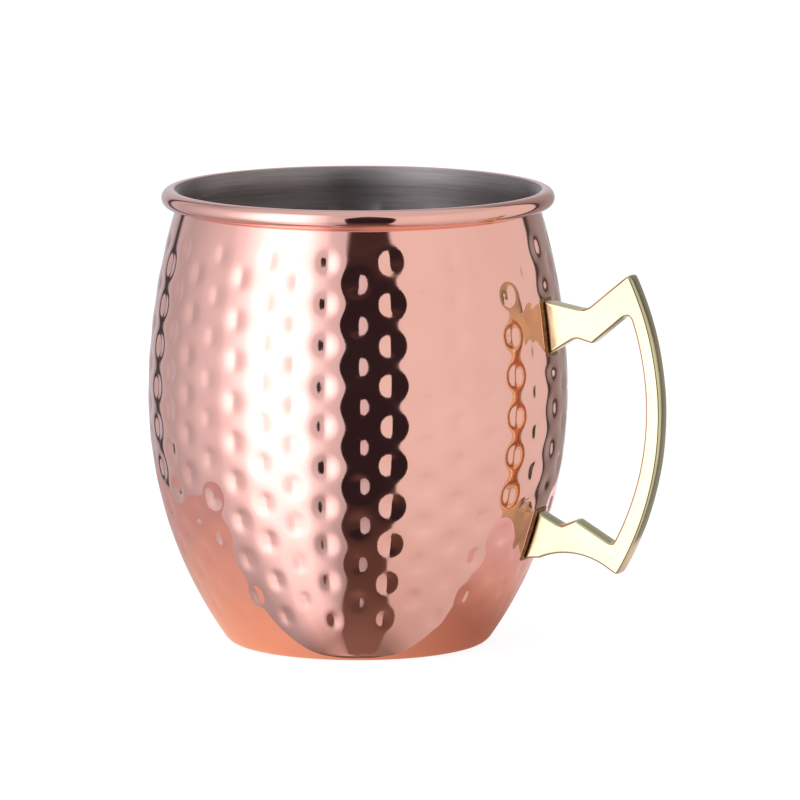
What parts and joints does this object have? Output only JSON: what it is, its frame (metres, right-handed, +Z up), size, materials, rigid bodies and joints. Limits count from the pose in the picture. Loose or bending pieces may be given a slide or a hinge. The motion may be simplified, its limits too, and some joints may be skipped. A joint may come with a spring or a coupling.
{
  "type": "hammered copper mug",
  "caption": "Barrel-shaped drinking mug with a hammered copper outside, a brushed steel lining, a rolled rim and an angular cast brass handle.",
  "frame": {"origin": "centre of the flat underside of the base, on the mug's axis", "axes": "+Z up along the mug's axis, +X from the axis towards the handle, +Y to complete a right-handed set"},
  "size_m": [0.1163, 0.091, 0.099],
  "materials": {
    "polished_copper": "mirror polished copper over hammering",
    "brushed_steel": "brushed round the bore",
    "polished_brass": "polished pale brass",
    "braze": "dull braze filler"
  },
  "bodies": {
    "root": {"copper_shell": "polished_copper", "steel_lining": "brushed_steel", "handle": "polished_brass", "upper_braze_joint": "braze", "lower_braze_joint": "braze"}
  },
  "joints": []
}
